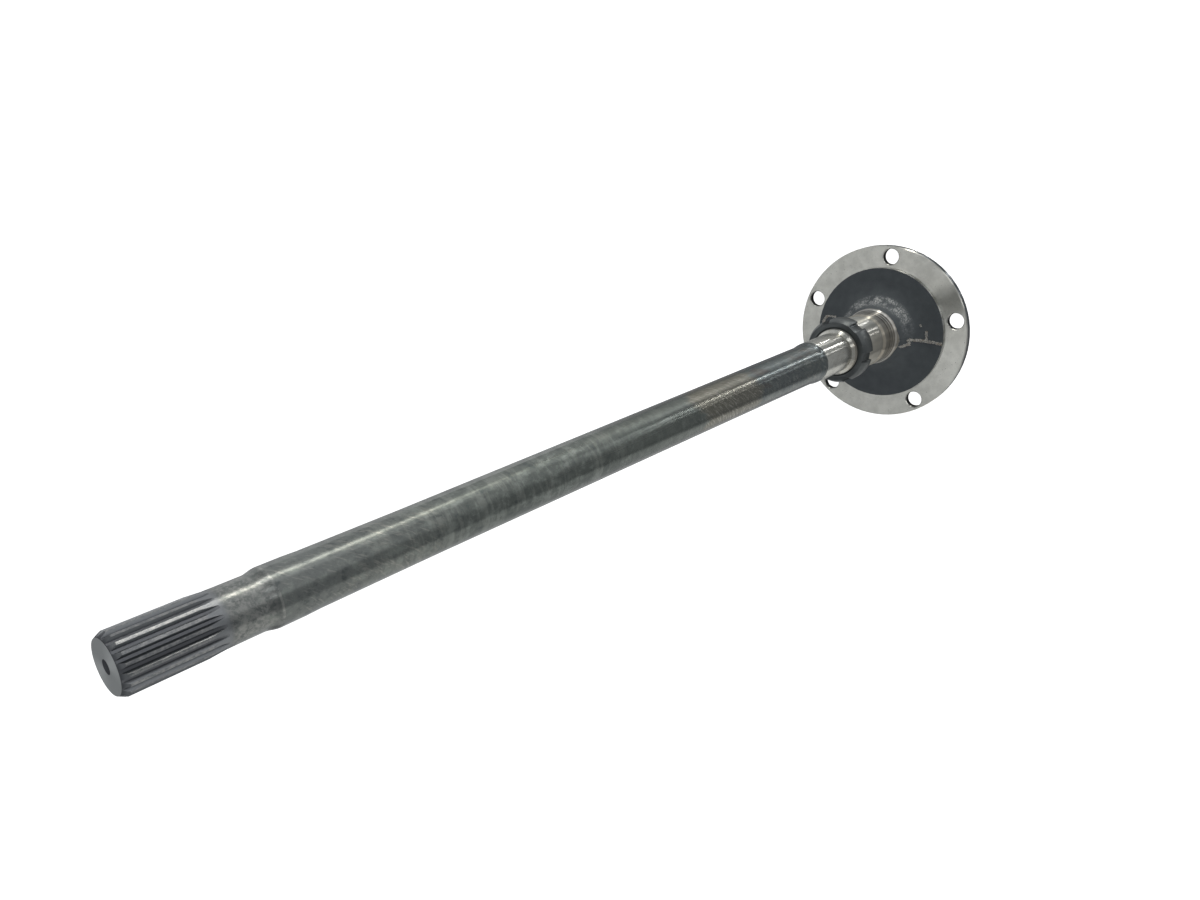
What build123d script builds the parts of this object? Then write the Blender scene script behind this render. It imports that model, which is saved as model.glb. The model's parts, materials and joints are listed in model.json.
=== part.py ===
"""Flanged drive axle shaft with its slotted bearing lock nut, in millimetres.

The shaft stands on the wheel side of its flange. Z runs along the shaft toward the
splined end, and one wheel stud hole lies on the +X side.
"""
import os
from math import acos, asin, cos, degrees, pi, radians, sin, sqrt, tan

from build123d import *

# Wheel flange, which grows and shrinks with its circle of studs
stud_circle_diameter = 139.7
stud_count = 5
stud_hole_diameter = 14.3
stud_hole_chamfer = 0.7
stud_to_rim = 9.75
stud_to_web = 10.2
flange_thickness = 7.0
flange_edge_chamfer = 0.8

# As-forged web inside the machined rim
web_height = 3.0
web_fillet_radius = 24.0
flash_width = 2.2
flash_height = 0.45
flash_edge_gap = 0.6

# Machined collar and its blend into the web
collar_diameter = 47.3
collar_end = 50.0
collar_taper_length = 3.2
blend_radius = 17.0
blend_foot_diameter = 51.2
blend_foot_height = 28.5

# Bearing seat, thread and seal journal
seat_diameter = 45.0
seat_end = 82.6
seat_chamfer = 1.0
relief_width = 3.0
relief_diameter = 37.2
thread_pitch_diameter = 39.0
thread_end = 103.7
journal_diameter = 34.3
journal_end = 150.2
journal_edge_length = 0.6

# Shaft body, tapered and then straight up to its tip
shoulder_diameter = 34.0
shoulder_length = 3.0
shoulder_blend_length = 5.0
body_root_diameter = 32.2
body_tip_diameter = 27.0
body_straight_length = 56.0
body_tip_to_end = 83.0

# Raised band and neck before the spline
band_diameter = 27.5
band_length = 12.0
band_blend_length = 7.0
neck_diameter = 25.1
neck_blend_length = 6.5
neck_length = 17.0

# Spline
shaft_length = 699.0
spline_teeth = 19
spline_module = 1.31
spline_pressure_angle = 30.0
spline_addendum = 0.5
spline_dedendum = 0.58
spline_cutter_radius = 24.0
spline_overtravel_angle = 10.0
spline_lead_length = 7.2
spline_end_chamfer_angle = 30.0
spline_end_chamfer_below_root = 0.2

# Lathe centre drilled in each end
centre_diameter = 6.4
centre_angle = 60.0
centre_pilot_diameter = 2.5
centre_pilot_depth = 3.5

# Bearing lock nut
nut_diameter = 55.0
nut_width = 15.8
nut_back = 86.6
nut_face_diameter = 50.5
nut_chamfer_length = 4.4
nut_back_chamfer = 0.8
nut_slot_count = 6
nut_slot_width = 7.8
nut_slot_depth = 2.8
nut_slot_angle = 28.7
nut_bore_chamfer = 1.5
thread_clearance = 0.05

# Tool travel past a face, so that a cut never ends on it
cut_past = 2.0

# Sizes that follow from those above
flange_diameter = stud_circle_diameter + 2 * stud_to_rim
web_diameter = stud_circle_diameter - 2 * stud_to_web
web_face = flange_thickness + web_height
thread_start = seat_end + relief_width
spline_major_diameter = spline_module * (spline_teeth + 2 * spline_addendum)
spline_root_diameter = spline_module * (spline_teeth - 2 * spline_dedendum)
spline_end_face_diameter = spline_root_diameter - 2 * spline_end_chamfer_below_root
body_tip = shaft_length - body_tip_to_end
body_taper_end = body_tip - body_straight_length
band_start = body_tip + band_blend_length
neck_start = band_start + band_length + neck_blend_length
neck_end = neck_start + neck_length


def web_fillet(rise):
    """Foot and head points of the forged fillet, lifted off the web by rise."""
    head_radius = blend_foot_diameter / 2 + rise
    drop = blend_foot_height - web_face - rise
    lean = asin(1 - drop / web_fillet_radius)
    foot_radius = head_radius + web_fillet_radius * cos(lean)
    middle = (lean + pi / 2) / 2
    mid_point = (
        foot_radius - web_fillet_radius * cos(middle),
        web_face + rise + web_fillet_radius * (1 - sin(middle)),
    )
    foot = (foot_radius, web_face + rise)
    head = (head_radius, blend_foot_height)
    return foot, mid_point, head


def blend_arc():
    """Machined blend from its foot up to where it runs straight into the collar."""
    collar_radius = collar_diameter / 2
    out = blend_foot_diameter / 2 - collar_radius
    rise = sqrt(2 * blend_radius * out - out**2)
    middle = asin(rise / blend_radius) / 2
    top = (collar_radius, blend_foot_height + rise)
    mid_point = (
        collar_radius + blend_radius * (1 - cos(middle)),
        top[1] - blend_radius * sin(middle),
    )
    return mid_point, top


def shaft_profile():
    """Half section of the whole turned and forged shaft, before holes and splines."""
    flange_radius = flange_diameter / 2
    seat_radius = seat_diameter / 2
    thread_radius = thread_pitch_diameter / 2
    journal_radius = journal_diameter / 2
    fillet_foot, fillet_mid, fillet_head = web_fillet(0)
    blend_mid, blend_top = blend_arc()
    edge_end = journal_end + journal_edge_length
    shoulder_end = edge_end + shoulder_length
    chamfer_foot = thread_end + thread_radius - journal_radius
    end_chamfer_depth = (spline_major_diameter - spline_end_face_diameter) / 2
    end_chamfer_start = shaft_length - end_chamfer_depth / tan(radians(spline_end_chamfer_angle))

    with BuildLine(Plane.XZ) as outline:
        Polyline(
            (0, 0),
            (flange_radius - flange_edge_chamfer, 0),
            (flange_radius, flange_edge_chamfer),
            (flange_radius, flange_thickness - flange_edge_chamfer),
            (flange_radius - flange_edge_chamfer, flange_thickness),
            (web_diameter / 2, flange_thickness),
            (web_diameter / 2, web_face),
            fillet_foot,
        )
        ThreePointArc(fillet_foot, fillet_mid, fillet_head)
        ThreePointArc(fillet_head, blend_mid, blend_top)
        Polyline(
            blend_top,
            (collar_diameter / 2, collar_end),
            (seat_radius, collar_end + collar_taper_length),
            (seat_radius, seat_end - seat_chamfer),
            (seat_radius - seat_chamfer, seat_end),
            (relief_diameter / 2, seat_end),
            (relief_diameter / 2, thread_start - (thread_pitch_diameter - relief_diameter) / 2),
            (thread_radius, thread_start),
            (thread_radius, thread_end),
            (journal_radius, chamfer_foot),
            (journal_radius, journal_end),
            (shoulder_diameter / 2, edge_end),
            (shoulder_diameter / 2, shoulder_end),
        )
        Spline(
            (shoulder_diameter / 2, shoulder_end),
            (body_root_diameter / 2, shoulder_end + shoulder_blend_length),
            tangents=((0, 1), (0, 1)),
        )
        Polyline(
            (body_root_diameter / 2, shoulder_end + shoulder_blend_length),
            (body_tip_diameter / 2, body_taper_end),
            (body_tip_diameter / 2, body_tip),
        )
        Spline(
            (body_tip_diameter / 2, body_tip),
            (band_diameter / 2, band_start),
            tangents=((0, 1), (0, 1)),
        )
        Line((band_diameter / 2, band_start), (band_diameter / 2, band_start + band_length))
        Spline(
            (band_diameter / 2, band_start + band_length),
            (neck_diameter / 2, neck_start),
            tangents=((0, 1), (0, 1)),
        )
        Polyline(
            (neck_diameter / 2, neck_start),
            (neck_diameter / 2, neck_end),
            (spline_major_diameter / 2, neck_end + spline_lead_length),
            (spline_major_diameter / 2, end_chamfer_start),
            (spline_end_face_diameter / 2, shaft_length),
            (0, shaft_length),
            (0, 0),
        )
    return make_face(outline.line)


def flash_line():
    """Die parting flash: a thin slice of a slightly fuller forging, across the web."""
    foot, mid_point, head = web_fillet(flash_height)
    outer = web_diameter / 2 - flash_edge_gap
    with BuildLine(Plane.XZ) as outline:
        Polyline((0, web_face - web_height / 2), (outer, web_face - web_height / 2),
                 (outer, web_face + flash_height), foot)
        ThreePointArc(foot, mid_point, head)
        Polyline(head, (0, blend_foot_height), (0, web_face - web_height / 2))
    fuller_forging = revolve(make_face(outline.line), Axis.Z)
    slice_box = Box(flash_width, web_diameter, blend_foot_height,
                    align=(Align.CENTER, Align.CENTER, Align.MIN))
    return fuller_forging & slice_box


def centre_drilling():
    """Lathe centre with its pilot, its mouth on the XY plane and opening downward."""
    cone_depth = (centre_diameter - centre_pilot_diameter) / 2 / tan(radians(centre_angle / 2))
    bottom = cone_depth + centre_pilot_depth
    tip = bottom + centre_pilot_diameter / 2 * tan(radians(centre_angle / 2))
    with BuildLine(Plane.XZ) as outline:
        Polyline(
            (0, -cut_past),
            (centre_diameter / 2, -cut_past),
            (centre_diameter / 2, 0),
            (centre_pilot_diameter / 2, cone_depth),
            (centre_pilot_diameter / 2, bottom),
            (0, tip),
            (0, -cut_past),
        )
    return revolve(make_face(outline.line), Axis.Z)


def involute(angle):
    """Involute function of a pressure angle in radians."""
    return tan(angle) - angle


def flank_point(radius, side):
    """Point of the tooth space's flank at this radius, side being 1 or -1."""
    pressure = radians(spline_pressure_angle)
    base_radius = spline_module * spline_teeth / 2 * cos(pressure)
    half = pi / (2 * spline_teeth) + involute(acos(base_radius / radius)) - involute(pressure)
    return radius * cos(half), side * radius * sin(half)


def tooth_space():
    """Involute space between two spline teeth, centred on +X in the XY plane."""
    root = spline_root_diameter / 2
    outer = spline_major_diameter / 2 + cut_past
    middle = (root + outer) / 2
    with BuildLine() as outline:
        ThreePointArc(flank_point(root, -1), (root, 0), flank_point(root, 1))
        ThreePointArc(flank_point(root, 1), flank_point(middle, 1), flank_point(outer, 1))
        Line(flank_point(outer, 1), flank_point(outer, -1))
        ThreePointArc(flank_point(outer, -1), flank_point(middle, -1), flank_point(root, -1))
    return make_face(outline.line)


def spline_cutter():
    """One tooth space along the spline, rising out of the neck on the cutter's radius."""
    rise = (neck_diameter - spline_root_diameter) / 2
    travel = degrees(acos(1 - rise / spline_cutter_radius))
    runout_start = neck_end + spline_cutter_radius * sin(radians(travel))
    space = Pos(0, 0, runout_start) * tooth_space()
    straight = extrude(space, shaft_length + cut_past - runout_start, dir=(0, 0, 1))
    cutter_axis = Axis((spline_root_diameter / 2 + spline_cutter_radius, 0, runout_start), (0, 1, 0))
    runout = revolve(space, cutter_axis, -travel - spline_overtravel_angle)
    return straight + runout


def make_axle_shaft():
    """One forging: flange, web, collar, seat, thread, journal, body and spline."""
    shaft = revolve(shaft_profile(), Axis.Z) + flash_line()

    hole = Cylinder(stud_hole_diameter / 2, flange_thickness + 2 * cut_past,
                    align=(Align.CENTER, Align.CENTER, Align.MIN))
    hole = Pos(0, 0, -cut_past) * hole
    mouth = Cone(stud_hole_diameter / 2, stud_hole_diameter / 2 + stud_hole_chamfer + cut_past,
                 stud_hole_chamfer + cut_past, align=(Align.CENTER, Align.CENTER, Align.MIN))
    top_mouth = Pos(0, 0, flange_thickness - stud_hole_chamfer) * mouth
    bottom_mouth = Pos(0, 0, stud_hole_chamfer) * Rot(180, 0, 0) * mouth
    stud_hole = hole + top_mouth + bottom_mouth
    shaft -= [place * stud_hole for place in PolarLocations(stud_circle_diameter / 2, stud_count)]

    shaft -= [place * spline_cutter() for place in PolarLocations(0, spline_teeth)]

    wheel_centre = centre_drilling()
    spline_centre = Pos(0, 0, shaft_length) * Rot(180, 0, 0) * centre_drilling()
    return shaft - wheel_centre - spline_centre


def make_bearing_lock_nut():
    """Round nut with slots for a hook spanner, threaded on the shaft."""
    outer = nut_diameter / 2
    bore = (thread_pitch_diameter / 2) + thread_clearance
    front = nut_back + nut_width
    with BuildLine(Plane.XZ) as outline:
        Polyline(
            (bore, nut_back + nut_bore_chamfer),
            (bore + nut_bore_chamfer, nut_back),
            (outer - nut_back_chamfer, nut_back),
            (outer, nut_back + nut_back_chamfer),
            (outer, front - nut_chamfer_length),
            (nut_face_diameter / 2, front),
            (bore + nut_bore_chamfer, front),
            (bore, front - nut_bore_chamfer),
            (bore, nut_back + nut_bore_chamfer),
        )
    ring = revolve(make_face(outline.line), Axis.Z)

    slot = Box(nut_slot_depth + cut_past, nut_slot_width, nut_width + 2 * cut_past,
               align=(Align.MIN, Align.CENTER, Align.MIN))
    slot = Pos(outer - nut_slot_depth, 0, nut_back - cut_past) * slot
    turns = PolarLocations(0, nut_slot_count, start_angle=nut_slot_angle)
    return ring - [place * slot for place in turns]


os.makedirs("parts", exist_ok=True)
export_step(make_axle_shaft(), "parts/axle_shaft.step")
export_step(make_bearing_lock_nut(), "parts/bearing_lock_nut.step")
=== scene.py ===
# %% [markdown]
# # A drive axle shaft and its bearing lock nut
#
# This lesson dresses a finished CAD model. The shaft is one steel forging that has been
# turned, ground and splined, and a round nut sits on its thread. The big shapes come from
# the CAD frame. What is added here is small: torn flash from the dies, a few turns of
# thread, softened edges on the nut, and the finish of each surface.

# %% Load the frame
import json
import math
import bmesh
import bpy
from mathutils import Matrix, Vector

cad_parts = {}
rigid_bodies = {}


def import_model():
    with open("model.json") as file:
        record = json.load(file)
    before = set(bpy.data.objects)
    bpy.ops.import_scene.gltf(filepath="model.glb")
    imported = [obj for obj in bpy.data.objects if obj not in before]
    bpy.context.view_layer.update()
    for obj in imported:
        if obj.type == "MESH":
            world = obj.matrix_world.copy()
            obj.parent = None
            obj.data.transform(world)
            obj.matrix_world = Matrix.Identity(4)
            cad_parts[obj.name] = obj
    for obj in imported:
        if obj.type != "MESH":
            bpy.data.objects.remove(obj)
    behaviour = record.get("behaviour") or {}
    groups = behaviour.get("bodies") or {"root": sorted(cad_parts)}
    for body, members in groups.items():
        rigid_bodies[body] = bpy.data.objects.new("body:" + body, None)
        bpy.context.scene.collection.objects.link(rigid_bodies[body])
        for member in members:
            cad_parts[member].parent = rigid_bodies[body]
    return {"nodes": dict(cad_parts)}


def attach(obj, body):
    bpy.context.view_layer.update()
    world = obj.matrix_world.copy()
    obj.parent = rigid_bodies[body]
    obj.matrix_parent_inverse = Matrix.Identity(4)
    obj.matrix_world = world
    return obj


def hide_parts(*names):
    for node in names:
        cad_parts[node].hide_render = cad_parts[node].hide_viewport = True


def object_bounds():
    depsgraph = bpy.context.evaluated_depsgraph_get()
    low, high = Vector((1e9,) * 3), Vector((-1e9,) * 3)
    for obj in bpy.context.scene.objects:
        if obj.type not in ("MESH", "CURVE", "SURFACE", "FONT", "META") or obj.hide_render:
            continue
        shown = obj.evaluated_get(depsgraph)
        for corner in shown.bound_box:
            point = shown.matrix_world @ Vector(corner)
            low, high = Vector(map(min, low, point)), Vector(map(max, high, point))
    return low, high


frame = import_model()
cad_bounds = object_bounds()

shaft = frame["nodes"]["axle_shaft"]
nut = frame["nodes"]["bearing_lock_nut"]
cad_size = cad_bounds[1] - cad_bounds[0]
print("nodes", sorted(frame["nodes"]), "in a box of", [round(side, 4) for side in cad_size], "m")

# %% [markdown]
# ## Places on the shaft
#
# The finish changes along the shaft, so its steps are named once, in millimetres from the
# wheel side of the flange: rim, web, edge of the forging scale, collar, bearing seat,
# thread, seal journal, body, raised band, neck and spline. The two outer sizes are measured
# on the frame. The others are stated, because a name is easier to follow than a measured
# corner. Blender's own unit is the metre, and `mm` turns one into the other where a piece
# is modelled.

# %% Places
mm = 0.001
rim_top = 7.0
web_top = 10.0
scale_edge = 28.5
collar_end = 50.0
seat_start = 53.2
seat_end = 82.6
thread_start = 85.6
thread_end = 103.7
journal_end = 150.2
band_end = 635.0
spline_start = 655.0
shaft_end = cad_bounds[1].z / mm
flange_radius = cad_bounds[1].x / mm
print("shaft ends at", round(shaft_end, 1), "mm, flange radius", round(flange_radius, 1), "mm")

# %% [markdown]
# ## Camera
#
# The photograph looks down the shaft from its splined end, with the shaft running from the
# lower left to the upper right. The shaft stands on its flange in the frame, so the camera
# is rolled to lay the shaft across the picture. A camera's matrix is its three axes and its
# place, which is the clearest way to state a rolled view.

# %% Camera
camera_data = bpy.data.cameras.new("camera")
camera = bpy.data.objects.new("camera", camera_data)
bpy.context.scene.collection.objects.link(camera)
bpy.context.scene.camera = camera

picture_width = 1200
focal_pixels = 870
camera_data.sensor_width = 36
camera_data.lens = focal_pixels / picture_width * camera_data.sensor_width

camera_place = Vector((0.19391, -0.30191, 0.79081))
right = Vector((0.02300, -0.77086, -0.63659)).normalized()
back = Vector((0.37121, -0.58465, 0.72138)).normalized()
up = back.cross(right).normalized()
camera_axes = Matrix((right, up, back)).transposed().to_4x4()
camera.matrix_world = Matrix.Translation(camera_place) @ camera_axes
print("camera lens", round(camera_data.lens, 2), "mm")

# %% [markdown]
# ## A small language for materials
#
# A material is a graph of nodes, but it reads best as arithmetic. `Value` wraps a node's
# output, and each operator adds the Math node that does the sum. Every other node comes
# from `node`, which takes its type, its settings and what goes into its sockets.

# %% Nodes
def add_node(tree, kind, settings=None, inputs=None, output=0):
    """One node of this kind, with its settings made first and then its sockets filled."""
    made = tree.nodes.new(kind)
    for name, value in (settings or {}).items():
        setattr(made, name, value)
    for name, value in (inputs or {}).items():
        socket = made.inputs[name]
        if isinstance(value, Value):
            tree.links.new(value.socket, socket)
        else:
            socket.default_value = value
    return Value(tree, made.outputs[output]) if len(made.outputs) else None


print("add_node is ready")


# %% Values
class Value:
    """An output socket that can be used in sums."""

    def __init__(self, tree, socket):
        self.tree = tree
        self.socket = socket

    def node(self, kind, settings=None, inputs=None, output=0):
        """Adds a node, sets it up, fills its sockets and returns one output."""
        return add_node(self.tree, kind, settings, inputs, output)

    def math(self, operation, *values):
        """One Math node on these values, numbers or sockets."""
        return self.node("ShaderNodeMath", {"operation": operation}, dict(enumerate(values)))

    def __add__(self, other):
        return self.math("ADD", self, other)

    def __sub__(self, other):
        return self.math("SUBTRACT", self, other)

    def __rsub__(self, other):
        return self.math("SUBTRACT", other, self)

    def __mul__(self, other):
        return self.math("MULTIPLY", self, other)

    def __truediv__(self, other):
        return self.math("DIVIDE", self, other)

    def __pow__(self, other):
        return self.math("POWER", self, other)

    __radd__ = __add__
    __rmul__ = __mul__


print("sums on sockets are ready")

# %% [markdown]
# ## Patterns
#
# Four patterns do all the work. A rise goes smoothly from 0 to 1 between two values, and a
# band is a rise and a fall. Noise is cloudy, and stretching its place turns clouds into
# rings, streaks or scratches. A blend goes from one colour to another.

# %% Patterns
def rise(value, low, high):
    """Goes smoothly from 0 to 1 as value goes from low to high."""
    return value.node("ShaderNodeMapRange", {"interpolation_type": "SMOOTHSTEP"},
                      {"Value": value, "From Min": low, "From Max": high})


def band(value, low, high, soft):
    """1 between low and high, fading over soft at both ends."""
    return rise(value, low - soft, low) * (1 - rise(value, high, high + soft))


def blend(factor, first, second):
    """A colour that goes from first to second with factor."""
    return factor.node("ShaderNodeMix", {"data_type": "RGBA"},
                       {"Factor": factor, 6: first, 7: second}, output=2)


def colour(red, green, blue):
    """A colour with full cover, as sockets want it."""
    return (red, green, blue, 1)


def vector(x, y, z):
    """Three values as one place."""
    return x.node("ShaderNodeCombineXYZ", {}, {"X": x, "Y": y, "Z": z})


def noise(place, scale, detail=4, roughness=0.5):
    """Cloudy noise from about 0.3 to 0.7, with this many clouds to a millimetre."""
    return place.node("ShaderNodeTexNoise", {"noise_dimensions": "3D"},
                      {"Vector": place, "Scale": scale, "Detail": detail, "Roughness": roughness})


print("patterns: rise, band, noise, blend")

# %% [markdown]
# ## A new material
#
# A pattern has to know where it is on the piece. Object coordinates say so, and they move
# with the piece, so a mark stays on the steel when the nut turns. They come in metres and
# are scaled once to millimetres, the unit of every number that follows.

# %% A new material
def new_material(name):
    """An empty node material and the place on the piece in millimetres: place, x, y, z."""
    material = bpy.data.materials.new(name)
    material.use_nodes = True
    tree = material.node_tree
    tree.nodes.clear()
    metres = add_node(tree, "ShaderNodeTexCoord", output="Object")
    place = metres.node("ShaderNodeVectorMath", {"operation": "SCALE"},
                        {0: metres, "Scale": 1 / mm})
    x, y, z = (add_node(tree, "ShaderNodeSeparateXYZ", {}, {0: place}, axis) for axis in "XYZ")
    return material, place, x, y, z


print("a millimetre is", mm, "of Blender's units")

# %% [markdown]
# ## Metal finish
#
# A lathe leaves fine rings, and light that falls on rings is spread along the shaft and
# stays narrow across it. That is anisotropic reflection: Anisotropic sets how far the two
# spreads differ, and a quarter turn puts the long one along the shaft.

# %% Metal finish
quarter_turn = 0.25


def steel(place, base, roughness, height, relief, metallic=1.0, streak=0.0):
    """A metal finish; height is a bump of relief millimetres and streak stretches the light."""
    bump = place.node("ShaderNodeBump", {}, {"Strength": 1.0, "Distance": relief * mm,
                                             "Height": height})
    return place.node("ShaderNodeBsdfPrincipled", {}, {
        "Base Color": base, "Roughness": roughness, "Metallic": metallic,
        "Anisotropic": streak, "Anisotropic Rotation": quarter_turn, "Normal": bump})


def mix_finishes(factor, first, second):
    """One finish where factor is 0 and another where it is 1."""
    return factor.node("ShaderNodeMixShader", {}, {0: factor, 1: first, 2: second})


def finish_material(material, finish):
    """Ends a material with its finish."""
    add_node(material.node_tree, "ShaderNodeOutputMaterial", {}, {"Surface": finish})
    print("material", material.name, "has", len(material.node_tree.nodes), "nodes")
    return material


print("finishes: steel, mix_finishes and finish_material")

# %% [markdown]
# ## Cut steel
#
# Flange rim, collar, bearing seat and seal journal are bright where a tool has cut them.
# Rings follow the distance from the axis on flat faces and the height on round ones, so one
# noise on both serves all of them. Dark lines of painted shade, bright lines of painted
# highlight and a straw-coloured taper mark the collar, and the side toward -Y is tinted
# warm. The thread beside the nut is painted darker as shade. The walls of the holes and the
# flange's edge are painted dark as shade, and the wall of the raised web carries painted
# glints. Turned faces spread the light along the shaft more than the ground journal does, so
# the two differ in roughness and streak.
#
# Each mark round the collar is a row: its lowest and highest height, the width of its soft
# edge and its strength.

# %% Marks on the collar
# Painted shade and painted highlight: dark lines and bright lines round the collar.
painted_shade_lines = ((40.2, 41.6, 0.5, 1.0), (35.2, 36.2, 0.4, 0.6), (32.2, 33.0, 0.4, 0.8))
painted_highlight_lines = ((29.6, 31.2, 0.4, 1.0), (33.8, 34.4, 0.4, 1.0), (38.2, 39.2, 0.4, 0.6))


def marks(z, rows):
    """The bands of these rows, added up."""
    total = 0
    for low, high, soft, strength in rows:
        total = total + band(z, low, high, soft) * strength
    return total


print(len(painted_shade_lines), "grooves and", len(painted_highlight_lines), "burnished lines")

# %% Cut steel
web_radius = 59.65
stud_circle_radius = 69.85


def cut_steel(place, x, y, z, radius, roughness, streak):
    """Steel that a tool has cut, with the marks of each place along the shaft."""
    rings = vector(x * 0, radius, z)
    lathe = noise(rings, 0.9, 5, 0.7)
    fans = noise(vector(x / radius, y / radius, x * 0), 5, 3)
    smudge = noise(place, 0.12, 5, 0.6)
    cloudy = rise(smudge + fans * 0.3, 0.45, 0.85)
    base = blend(cloudy, colour(0.58, 0.58, 0.54), colour(0.70, 0.70, 0.655))
    base = blend(rise(lathe, 0.5, 0.7) * 0.12, base, colour(0.36, 0.35, 0.33))

    collar = band(z, scale_edge, collar_end - 3, 3)
    taper = band(z, collar_end, seat_start, 0.3)
    thread = band(z, seat_end, thread_end, 0.3)
    base = blend(collar * 0.55, base, colour(0.30, 0.275, 0.255))
    # Painted shade lines and painted highlight lines on the collar.
    base = blend(marks(z, painted_shade_lines) * 0.85, base, colour(0.08, 0.07, 0.065))
    base = blend(marks(z, painted_highlight_lines) * 0.8, base, colour(0.95, 0.94, 0.90))
    base = blend(taper * 0.8, base, colour(0.34, 0.32, 0.27))
    # Painted shade: the thread beside the nut is darkened.
    base = blend(thread * 0.6, base, colour(0.26, 0.26, 0.25))

    # Painted highlight: bright glints on the wall of the raised web.
    wall_glint = band(z, rim_top + 0.3, web_top - 0.05, 0.2)
    wall_glint = wall_glint * band(radius, web_radius - 0.45, web_radius + 0.85, 0.3)
    base = blend(wall_glint * rise(noise(place, 0.12, 2), 0.40, 0.55), base, colour(1.0, 1.0, 0.98))
    inside = band(z, 1.0, rim_top - 1.0, 0.3)
    shaded_hole_walls = inside * band(radius, stud_circle_radius - 7.85, stud_circle_radius + 8.55, 0.3)
    edge = inside * rise(radius, flange_radius - 0.3, flange_radius - 0.1)
    # Painted shade: the hole walls nearly black and the flange's outer edge dark.
    base = blend(shaded_hole_walls, base, colour(0.045, 0.045, 0.045))
    base = blend(edge, base, colour(0.13, 0.14, 0.15))

    # The side toward -Y is tinted warm.
    below = rise(-1 * y / radius, 0.55, 1.0) * band(z, scale_edge, thread_end, 4)
    base = blend(below * 0.4, base, colour(0.62, 0.55, 0.44))
    oil = rise(noise(place, 0.22, 4, 0.6), 0.52, 0.66) * band(z, thread_end, journal_end, 5)
    base = blend(oil * 0.3, base, colour(0.40, 0.35, 0.29))

    nicks = rise(noise(place, 0.9, 2), 0.70, 0.74) * (1 - rise(z, rim_top + 1, rim_top + 2))
    base = blend(nicks * 0.7, base, colour(0.12, 0.12, 0.12))
    roughness = roughness + lathe * 0.02 + shaded_hole_walls * 0.3
    return steel(place, base, roughness, lathe, 0.0004, streak=streak)


print("cut steel: web to radius", web_radius, "mm, studs on radius", stud_circle_radius, "mm")

# %% [markdown]
# ## Forging scale
#
# The web keeps the skin that the dies left: dark, blue-grey and finely pitted. Where it climbs
# to the hub, on the side toward the +X stud, bright specks are painted highlight: glints on the
# rough fillet. The machined collar bites into it along a wavy edge.

# %% Forging scale
hub_foot_radius = 31.5


def forging_scale(place, x, y, radius):
    """The dark skin of the web, with painted glints where it climbs to the hub."""
    grain = noise(place, 1.6, 6, 0.7)
    cloud = noise(place, 0.12, 4)
    base = blend(cloud, colour(0.095, 0.108, 0.118), colour(0.155, 0.172, 0.182))

    # Painted highlight: bright glints on the hub fillet, on the +X side only.
    lit_side = rise(x / radius + y / radius * 0.1, -0.3, 1.0)
    painted_glints = band(radius, hub_foot_radius - 1.5, hub_foot_radius + 1.5, 3.5) * lit_side
    wear_and_glints = rise(noise(place, 0.15, 3, 0.6), 0.32, 0.58) * painted_glints
    glint_specks = rise(noise(place, 0.7, 4, 0.7), 0.44, 0.64)
    base = blend(wear_and_glints * (0.12 + glint_specks * 0.75), base, colour(0.85, 0.86, 0.84))
    dust = noise(place, 0.5, 5, 0.75)
    base = blend(rise(dust, 0.66, 0.76) * 0.5, base, colour(0.16, 0.16, 0.15))
    return steel(place, base, 0.55 + grain * 0.2, grain, 0.12, metallic=0.5)


print("forging scale: worn round radius", hub_foot_radius, "mm")

# %% [markdown]
# ## Heat-treated body
#
# The long body is turned too, but quenching and tempering have left it grey-green, with a
# flecked brown belt, cross bands where the coil moved on, and pale wisps from handling. Each
# is one blend, so each can be judged and changed alone. A wisp is noise that is stretched
# along a slanting line. Two long stains are rougher than the rest, so a streak of light
# fades where it crosses them.
#
# A stretch of the body is three numbers: its lowest and highest height and the width of its
# soft edge.

# %% Stretches of the body
belt = (288, 350, 10)
flecks_by_journal = (153, 195, 12)
flecks_by_band = (555, 600, 15)
hooped = (430, 575, 25)
no_wisps = (0, 555, 8)
dull_stain = (166, 430, 12)
brown_patch = (172, 246, 12)
smear = (440, 500, 90)
print("brown belt from", belt[0], "to", belt[1], "mm")


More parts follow.
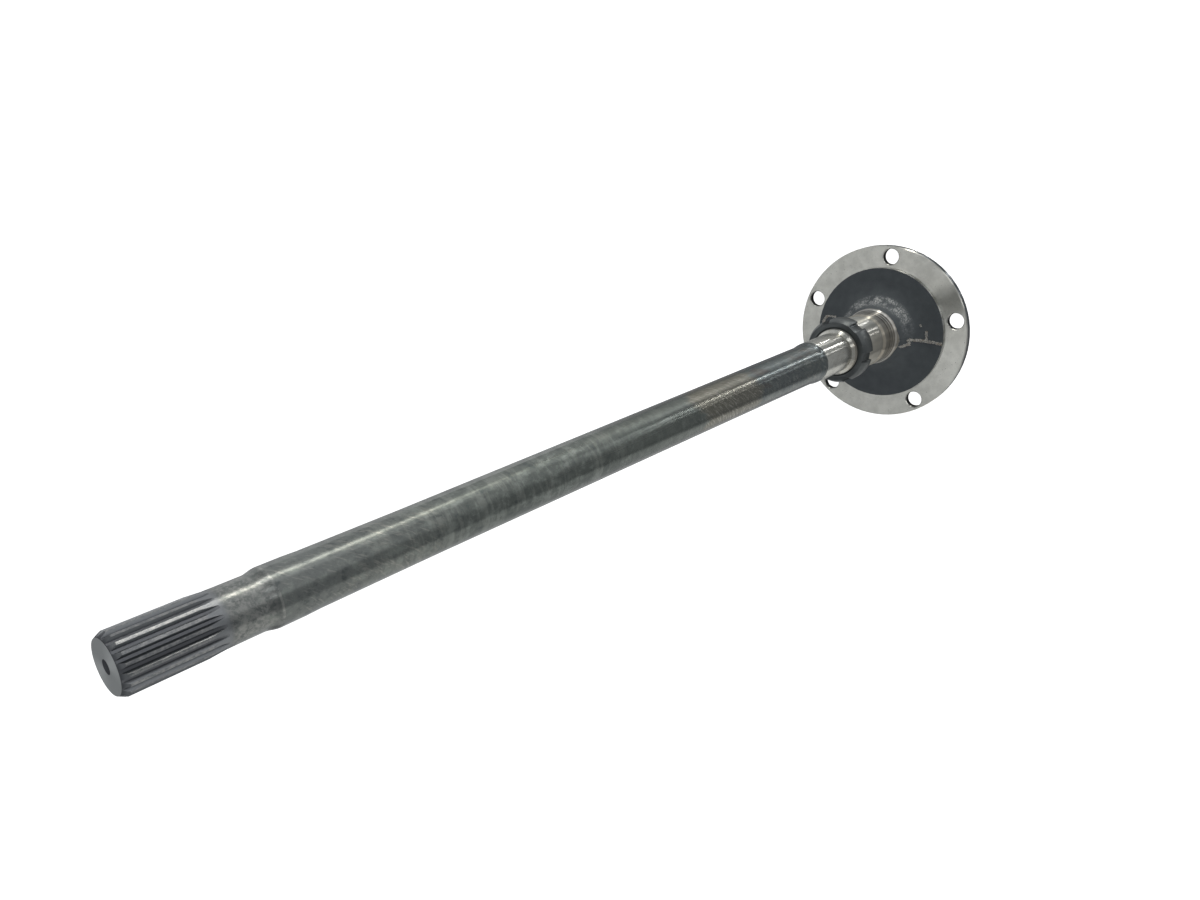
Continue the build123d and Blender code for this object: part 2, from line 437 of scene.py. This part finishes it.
# %% Heat-treated body
def treated_body(place, x, y, z, radius):
    """The body's colour, which the spline needs too, and its finish."""
    sideways = x * 0.84 + y * 0.545
    cloud = noise(vector(x * 0.05, y * 0.05, z * 0.02), 1, 4, 0.6)
    rings = noise(vector(x * 0.04, y * 0.04, z * 0.22), 1, 4, 0.65)
    mottle = noise(vector(x, y, z * 0.8), 0.19, 6, 0.7)
    lathe = noise(vector(x * 0, radius, z), 0.9, 4, 0.6)

    base = blend(rise(z, 230, 360), colour(0.112, 0.130, 0.134), colour(0.128, 0.142, 0.132))
    base = blend(rise(z, 500, 640), base, colour(0.168, 0.180, 0.176))
    hoops = rise(rings, 0.45, 0.62) * (band(z, *hooped) * 0.35 + 0.2)
    base = blend(hoops, base, colour(0.24, 0.255, 0.235))
    strength = rise(z, 360, 470) * 0.32 + 0.28
    base = blend(rise(mottle, 0.48, 0.66) * strength, base, colour(0.25, 0.275, 0.255))
    base = blend(rise(1 - mottle, 0.52, 0.70) * strength, base, colour(0.060, 0.073, 0.075))
    slant = vector(z * 0.10 + sideways * 0.08, (sideways * 0.8 - z * 0.6) * 0.9, x * 0.1)
    brown = band(z + cloud * 50, *belt) * rise(x / radius - y / radius * 0.6, -0.6, 0.3)
    base = blend(brown * 0.5, base, colour(0.20, 0.178, 0.135))
    flecked = brown * 0.8 + band(z, *flecks_by_journal) * 0.3 + band(z, *flecks_by_band) * 0.3
    flecks = rise(noise(slant, 1.0, 5, 0.75), 0.50, 0.60) * flecked
    base = blend(flecks * 0.6, base, colour(0.36, 0.345, 0.30))

    handled = 1 - rise(z, 300, 380) * band(z, *no_wisps)
    wisps = rise(noise(slant, 1, 3, 0.6), 0.55, 0.68) * handled
    base = blend(wisps * 0.4, base, colour(0.33, 0.33, 0.31))
    dull = band(z, *dull_stain) * rise(x / radius * 0.94 - y / radius * 0.34, 0.935, 0.985)
    patch = band(z, *brown_patch) * rise(cloud + dull * 0.2, 0.60, 0.72)
    base = blend(patch * 0.6, base, colour(0.095, 0.080, 0.072))
    smeared = band(z, *smear) * rise((x - y) / radius * 0.707, 0.92, 0.98)

    line = band(z, band_end + 0.4, band_end + 1.0, 0.4) * rise(mottle, 0.40, 0.60)
    base = blend(line * 0.5, base, colour(0.45, 0.45, 0.43))
    speckle = rise(noise(place, 0.5, 4, 0.7), 0.40, 0.62) * rise(z, band_end - 1, band_end + 5)
    base = blend(speckle * 0.6, base, colour(0.34, 0.34, 0.33))
    roughness = 0.27 + rise(z, 450, 520) * 0.01 + (dull + smeared) * 0.13
    return base, steel(place, base, roughness, lathe, 0.0002, streak=0.4)


print("body: from", journal_end, "mm, with a lighter neck from", band_end, "mm")

# %% [markdown]
# ## Splines and end face
#
# The splines are cut before the heat treatment, so their flanks are dark like the body, and
# painted shade darkens them further toward the roots.
# Their crests are rubbed bright, a little unevenly, each time the shaft slides into its
# gear. The distance from the axis tells crest from flank, so no tooth is painted by hand.

# %% Splines
crest_radius = 13.1


def worn_splines(place, z, radius, base):
    """Dark flanks, rubbed crests and the plain end face, over this colour of the body."""
    patchy = noise(place, 0.5, 4, 0.7)
    # Painted shade: the flanks darken toward the tooth roots.
    height = rise(radius, crest_radius - 1.5, crest_radius - 0.5)
    flank = blend(height, colour(0.15, 0.157, 0.17), colour(0.26, 0.272, 0.285))
    crest = rise(radius, crest_radius - 0.20, crest_radius - 0.02)
    bright = blend(rise(patchy, 0.35, 0.65), colour(0.20, 0.21, 0.22), colour(0.36, 0.365, 0.365))
    base = blend(rise(z, spline_start, spline_start + 4), base, blend(crest, flank, bright))
    face = rise(z, shaft_end - 0.15, shaft_end - 0.05)
    base = blend(face, base, colour(0.60, 0.62, 0.62))
    return steel(place, base, 0.36 + patchy * 0.10, patchy, 0.03, streak=0.7)


print("splines: from", spline_start, "mm to the end, with crests at radius", crest_radius, "mm")

# %% [markdown]
# ## All finishes of the shaft
#
# The place decides which finish shows. The forging scale ends at the machined blend, along
# an edge that waves because the rough forging was never quite round.

# %% Shaft steel
def shaft_steel():
    """The one material of the shaft, with each finish in its place."""
    material, place, x, y, z = new_material("shaft_steel")
    radius = (x * x + y * y) ** 0.5
    wave = noise(vector(x / radius, y / radius, x * 0), 2.5, 4)
    bulge = rise(-1 * y / radius, 0.93, 1.0)
    edge = scale_edge - bulge * 2.0 + (wave - 0.5) * 2.5
    forged = rise(z, web_top - 0.1, web_top - 0.05) * (1 - rise(z - edge, -0.3, 0.3))

    turned = cut_steel(place, x, y, z, radius, 0.27, 1.0)
    ground = cut_steel(place, x, y, z, radius, 0.22, 0.86)
    finish = mix_finishes(rise(z, seat_end, seat_end + 1), turned, ground)
    finish = mix_finishes(forged, finish, forging_scale(place, x, y, radius))
    base, body = treated_body(place, x, y, z, radius)
    finish = mix_finishes(rise(z, journal_end - 0.4, journal_end + 0.6), finish, body)
    splines = worn_splines(place, z, radius, base)
    finish = mix_finishes(rise(z, spline_start - 1, spline_start + 3), finish, splines)
    return finish_material(material, finish)


shaft_finish = shaft_steel()
shaft.data.materials.clear()
shaft.data.materials.append(shaft_finish)

# %% [markdown]
# ## Blackened lock nut
#
# The nut is turned, slotted and dipped in black oxide, which leaves the tool marks visible
# under a thin dark skin. The oxide rubs off first where a spanner slips, on the rim, so the
# distance from the axis adds a little to the noise that wears it.

# %% Blackened steel
nut_radius = 27.5


def blackened_steel():
    """Black oxide over turned steel, rubbed on the nut's rim."""
    material, place, x, y, z = new_material("blackened_steel")
    radius = (x * x + y * y) ** 0.5
    lathe = noise(vector(x * 0, radius, z), 5, 3, 0.6)
    cloud = noise(place, 0.3, 4)
    base = blend(cloud, colour(0.085, 0.094, 0.098), colour(0.128, 0.138, 0.138))
    rim = rise(radius, nut_radius - 3.5, nut_radius)
    # Wear: the oxide rubbed off, more of it near the rim.
    wear_and_glints = rise(noise(place, 0.6, 5, 0.7) + rim * 0.08, 0.62, 0.72)
    base = blend(wear_and_glints * 0.5, base, colour(0.17, 0.17, 0.155))
    finish = steel(place, base, 0.30 + lathe * 0.14, lathe, 0.01, metallic=0.8, streak=0.5)
    return finish_material(material, finish)


nut_finish = blackened_steel()
nut.data.materials.clear()
nut.data.materials.append(nut_finish)

# %% [markdown]
# ## Working on one piece
#
# Blender's operators act on whatever is selected, and the frame arrives selected. So every
# step first selects one piece alone, and inside edit mode it picks vertices by their place.

# %% Selection helpers
def only(piece):
    """Makes this piece the only one that is selected, and the active one."""
    bpy.ops.object.select_all(action="DESELECT")
    piece.select_set(True)
    bpy.context.view_layer.objects.active = piece


def pick(piece, wanted):
    """In edit mode, selects the vertices whose place in millimetres is wanted."""
    mesh = bmesh.from_edit_mesh(piece.data)
    for vertex in mesh.verts:
        vertex.select_set(wanted(vertex.co / mm))
    mesh.select_flush(True)
    bmesh.update_edit_mesh(piece.data)


def apply_modifier(piece, kind, **settings):
    """Adds a modifier, sets it up and applies it."""
    modifier = piece.modifiers.new(kind.lower(), kind)
    for name, value in settings.items():
        setattr(modifier, name, value)
    only(piece)
    bpy.ops.object.modifier_apply(modifier=modifier.name)


def finished(piece, material, body):
    """Gives a piece its smooth shading, material, slot and body, and says what was made."""
    only(piece)
    bpy.ops.object.shade_smooth_by_angle(angle=math.radians(35))
    piece.data.materials.clear()
    piece.data.materials.append(material)
    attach(piece, body)
    print(piece.name, "has", len(piece.data.polygons), "faces")


print("helpers: only, pick, apply_modifier, finished")

# %% [markdown]
# ## Lock nut with softened edges
#
# A real edge is never perfectly sharp, and the thin line of light that runs along it tells
# the eye where one face ends. The CAD mesh itself is never changed, so a copy of the nut is
# merged to one skin, its flat faces are joined up, and a narrow bevel softens what is left.
# The copy then stands for the node.

# %% Lock nut
edge_width = 0.3
lock_nut = bpy.data.objects.new("lock_nut", nut.data.copy())
bpy.context.scene.collection.objects.link(lock_nut)
only(lock_nut)
bpy.ops.mesh.customdata_custom_splitnormals_clear()
bpy.ops.object.mode_set(mode="EDIT")
bpy.ops.mesh.select_all(action="SELECT")
bpy.ops.mesh.remove_doubles(threshold=0.01 * mm)
bpy.ops.mesh.dissolve_limited(angle_limit=math.radians(0.5))
bpy.ops.mesh.normals_make_consistent(inside=False)
bpy.ops.object.mode_set(mode="OBJECT")
apply_modifier(lock_nut, "BEVEL", width=edge_width * mm, segments=2, limit_method="ANGLE",
               angle_limit=math.radians(30))
finished(lock_nut, nut_finish, "nut")
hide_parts("bearing_lock_nut")

# %% [markdown]
# ## Thread that shows beside the nut
#
# The nut hides most of its thread, and the CAD shaft is plain there. A bump pattern could
# suggest the few turns that show, but the shaft's outline would stay smooth, so they are
# real. One ridge section is drawn as a small plane, its outer side is narrowed to a crest,
# and the Screw modifier carries it round and up by the pitch. Both ends are then filled, so
# the ridge is closed.

# %% Thread
thread_radius = 19.5
pitch = 1.5
ridge_width = 1.1
ridge_height = 0.8
ridge_middle = thread_radius + 0.05
crest_share = 0.2
end_gap = 0.6


def thread_turns(name, lowest, turns):
    """A few turns of thread on the shaft, the first one centred on this height."""
    bpy.ops.object.select_all(action="DESELECT")
    bpy.ops.mesh.primitive_plane_add(size=mm, location=(ridge_middle * mm, 0, lowest * mm),
                                     rotation=(math.radians(90), 0, 0))
    ridge = bpy.context.object
    ridge.name = name
    ridge.scale = (ridge_height, ridge_width, 1)
    bpy.ops.object.transform_apply(location=True, rotation=True, scale=True)
    bpy.ops.object.mode_set(mode="EDIT")
    pick(ridge, lambda place: place.x > thread_radius)
    bpy.ops.transform.resize(value=(1, 1, crest_share),
                             center_override=(thread_radius * mm, 0, lowest * mm))
    bpy.ops.mesh.select_all(action="SELECT")
    bpy.ops.mesh.delete(type="ONLY_FACE")
    bpy.ops.object.mode_set(mode="OBJECT")
    apply_modifier(ridge, "SCREW", angle=math.tau, screw_offset=pitch * mm, iterations=turns,
                   steps=72, render_steps=72, use_smooth_shade=False)
    bpy.ops.object.mode_set(mode="EDIT")
    bpy.ops.mesh.select_all(action="SELECT")
    bpy.ops.mesh.fill_holes(sides=4)
    bpy.ops.mesh.normals_make_consistent(inside=False)
    bpy.ops.object.mode_set(mode="OBJECT")
    finished(ridge, shaft_finish, "shaft")


thread_turns("thread_behind_nut", thread_start + end_gap, 1)
thread_turns("thread_before_nut", thread_end - end_gap - 2 * pitch, 2)

# %% [markdown]
# ## Torn flash
#
# Where the two forging dies met, a thin fin of steel was squeezed out. It was trimmed, and
# what is left across the web is ragged, folded and rusty at its lips. The CAD shaft has the
# even ridge, and the torn lengths lie on it as pieces of their own, because raggedness is
# easier to shake into a grid than into a solid. Their steel is bare on the torn grain and
# brown where rust has started, so two noises set its colour.

# %% Material of the flash
def torn_steel():
    """Bare torn grain with spots of rust."""
    material, place = new_material("torn_steel")[:2]
    grain = noise(place, 1.8, 5, 0.7)
    rust = noise(place, 0.35, 4, 0.6)
    base = blend(rise(grain, 0.40, 0.66), colour(0.20, 0.19, 0.175), colour(0.95, 0.93, 0.87))
    base = blend(rise(rust, 0.50, 0.64) * 0.6, base, colour(0.36, 0.26, 0.17))
    finish = steel(place, base, 0.5 + grain * 0.2, grain, 0.1, metallic=0.55)
    return finish_material(material, finish)


flash_finish = torn_steel()

# %% [markdown]
# ## Torn lengths
#
# Each torn length is a fine grid above the web. Its border is shaken in edit mode, it is
# wrapped straight down onto the forging, its middle is shaken for lumps, and it is given a
# thickness that sinks into the steel, so that no gap shows. Each shake is given its seed,
# so every run tears the steel in the same way.

# %% Torn lengths
grid_step = 0.5
border_share = 0.25
tear = 0.3
lump = 0.25
sink = 0.3
above_web = 2 * scale_edge


def torn_flash(name, start, end, width, stand, seed):
    """A ragged fin from start to end on the web, in millimetres, standing this far up."""
    start, end = Vector(start), Vector(end)
    along = end - start
    middle = (start + end) / 2
    steps = max(6, round(along.length / grid_step))
    bpy.ops.object.select_all(action="DESELECT")
    bpy.ops.mesh.primitive_grid_add(x_subdivisions=steps, y_subdivisions=5, size=1)
    fin = bpy.context.object
    fin.name = name
    fin.scale = (along.length * mm, width * mm, 1)
    fin.rotation_euler = (0, 0, math.atan2(along.y, along.x))
    fin.location = (middle.x * mm, middle.y * mm, above_web * mm)
    bpy.ops.object.transform_apply(location=True, rotation=True, scale=True)
    bpy.ops.object.mode_set(mode="EDIT")
    side = Vector((-along.y, along.x)).normalized()
    border = border_share * width
    pick(fin, lambda place: abs((Vector(place[:2]) - middle).dot(side)) > border)
    bpy.ops.transform.vertex_random(offset=tear * width * mm, seed=seed)
    bpy.ops.object.mode_set(mode="OBJECT")
    apply_modifier(fin, "SHRINKWRAP", target=shaft, wrap_method="PROJECT", use_project_z=True,
                   use_positive_direction=False, use_negative_direction=True, offset=stand * mm)
    bpy.ops.object.mode_set(mode="EDIT")
    pick(fin, lambda place: abs((Vector(place[:2]) - middle).dot(side)) < border)
    bpy.ops.transform.vertex_random(offset=lump * mm, seed=seed + 1)
    bpy.ops.object.mode_set(mode="OBJECT")
    apply_modifier(fin, "SOLIDIFY", thickness=(stand + sink) * mm, offset=-1)
    finished(fin, flash_finish, "shaft")


torn_flash("flash_at_hub", (-6.2, -26.4), (-3.4, -33.0), 2.4, 0.3, 1)
torn_flash("flash_step", (-4.2, -32.2), (1.2, -31.6), 2.0, 0.35, 2)
torn_flash("flash_ribbon", (0.4, -31.5), (0.2, -59.2), 2.5, 0.3, 3)
torn_flash("flash_spur", (0.6, -45.2), (9.4, -43.8), 1.9, 0.4, 4)
torn_flash("flash_chip", (12.6, -38.9), (14.8, -37.6), 1.5, 0.35, 5)
torn_flash("far_flash_lip", (8.1, 43.2), (7.6, 53.2), 1.8, 0.4, 6)
torn_flash("far_flash_fold", (7.4, 53.0), (1.0, 56.4), 2.4, 0.4, 7)
torn_flash("far_flash_root", (1.2, 56.6), (0.8, 50.0), 2.2, 0.4, 8)

# %% [markdown]
# ## Floor
#
# The ground is plain and pale, and so bright that it reads as white. It is hidden from
# reflections and shadows, because the photograph's object hangs in light from every side
# and the lamps that draw its streaks stand below the floor.

# %% Floor
floor_size = 30
floor_gap = 0.5


def set_up_floor():
    """A white plane just under the flange, seen by the camera alone."""
    bpy.ops.object.select_all(action="DESELECT")
    bpy.ops.mesh.primitive_plane_add(size=floor_size, location=(0, 0, -floor_gap * mm))
    floor = bpy.context.object
    floor.name = "floor"
    material = bpy.data.materials.new("pale_floor")
    material.use_nodes = True
    principled = material.node_tree.nodes["Principled BSDF"]
    principled.inputs["Base Color"].default_value = colour(0.93, 0.93, 0.93)
    principled.inputs["Roughness"].default_value = 0.9
    principled.inputs["Emission Color"].default_value = colour(1, 1, 1)
    principled.inputs["Emission Strength"].default_value = 1.0
    floor.data.materials.append(material)
    floor.visible_glossy = False
    floor.visible_shadow = False
    floor.visible_diffuse = False
    print("stage:", floor.name, floor_size, "m wide,", floor_gap, "mm under the flange")


set_up_floor()

# %% [markdown]
# ## Lamps
#
# A turned cylinder mirrors what lies beside it, and only as a streak. So the light is a ring
# of upright lamps: narrow ones for the sharp streaks, wide ones for the soft sheen, and dark
# gaps between them for the dark bands. The camera looks steeply down the shaft, which is why
# most lamps stand low. Three small ones above the floor draw a line on the flange's edge,
# and three round ones overhead light the flat faces. Two lamps on the flank and the streak
# on the far end are slightly warm, as in the photograph.

# %% Lamps
warm = (1.0, 0.985, 0.94)
straw = (1.0, 0.96, 0.86)
overhead = 2.8


def lamp(name, azimuth, lowest, highest, width, power, distance=2.0, tint=(1, 1, 1)):
    """An upright lamp at this azimuth, facing the shaft, between two heights in metres."""
    data = bpy.data.lights.new(name, "AREA")
    data.shape = "RECTANGLE"
    data.size = width
    data.size_y = highest - lowest
    data.energy = power
    data.color = tint
    made = bpy.data.objects.new(name, data)
    bpy.context.scene.collection.objects.link(made)
    turn = math.radians(azimuth)
    upward = Vector((0, 0, 1))
    away = Vector((math.cos(turn), math.sin(turn), 0))
    axes = Matrix((upward.cross(away), upward, away)).transposed().to_4x4()
    middle = away * distance + upward * (lowest + highest) / 2
    made.matrix_world = Matrix.Translation(middle) @ axes


def top_lamp(name, towards, size, power):
    """A round lamp above the shaft, facing its flange."""
    data = bpy.data.lights.new(name, "AREA")
    data.shape = "DISK"
    data.size = size
    data.energy = power
    made = bpy.data.objects.new(name, data)
    bpy.context.scene.collection.objects.link(made)
    place = Vector(towards).normalized() * overhead
    axes = place.to_track_quat("Z", "Y").to_matrix().to_4x4()
    made.matrix_world = Matrix.Translation(place) @ axes


lamp("streak_body", -28, -3.4, -2.7, 0.14, 7.5)
lamp("streak_near", -54, -3.8, -3.0, 0.10, 1.3)
lamp("streak_side", 22, -3.9, -3.4, 0.12, 5.6)
lamp("streak_seat", -38, -1.9, -1.5, 0.14, 2.6)
lamp("streak_seat_near", -52, -1.8, -1.55, 0.10, 1.4)
lamp("streak_seat_side", -4, -1.9, -1.55, 0.10, 3.8)
lamp("streak_far_end", 5, -0.95, 0.6, 0.26, 7.5, tint=straw)
lamp("far_end", 2, -0.9, 0.5, 1.6, 4.2, distance=2.1)
lamp("edge_line_low", -62, 0.75, 1.05, 0.35, 1.0)
lamp("edge_line", -36, 0.68, 0.98, 0.5, 1.6)
lamp("edge_line_top", 2, 0.45, 0.72, 0.6, 1.6)
lamp("front_low", 6, -2.5, -0.9, 1.95, 5.8)
lamp("front_high", 56, -1.8, 0.4, 2.4, 9.8)
lamp("behind", 135, -3.3, -0.1, 3.6, 15.0)
lamp("flank_low", -158, -3.4, -2.2, 1.6, 4.4, tint=warm)
lamp("flank_middle", -150, -2.2, -0.9, 2.4, 4.0)
lamp("flank_high", -150, -0.9, 0.6, 2.6, 6.5, tint=warm)
lamp("camera_side", -88, -3.4, 0.2, 1.8, 3.3)
lamp("camera_high", -40, -1.1, 0.5, 2.2, 5.4)
top_lamp("top_middle", (-0.15, 0.25, 0.95), 1.0, 2.4)
top_lamp("top_left", (-0.31, 0.01, 0.95), 1.0, 1.1)
top_lamp("top_right", (0.05, 0.474, 0.88), 1.0, 0.9)

# %% [markdown]
# ## Room and picture
#
# The room gives a faint, slightly cool light from everywhere, while the camera sees white
# behind the floor. One light path tells the two apart. The standard view keeps that white
# pure.

# %% Room
room_strength = 0.26
world = bpy.data.worlds.new("studio")
bpy.context.scene.world = world
world.use_nodes = True
tree = world.node_tree
tree.nodes.clear()
seen = add_node(tree, "ShaderNodeLightPath", output="Is Camera Ray")
room = add_node(tree, "ShaderNodeBackground", {},
                {"Color": colour(0.95, 0.98, 1), "Strength": room_strength})
paper = add_node(tree, "ShaderNodeBackground", {}, {"Color": colour(1, 1, 1), "Strength": 1.0})
add_node(tree, "ShaderNodeOutputWorld", {}, {"Surface": mix_finishes(seen, room, paper)})
bpy.context.scene.view_settings.view_transform = "Standard"
print("room strength", room_strength)
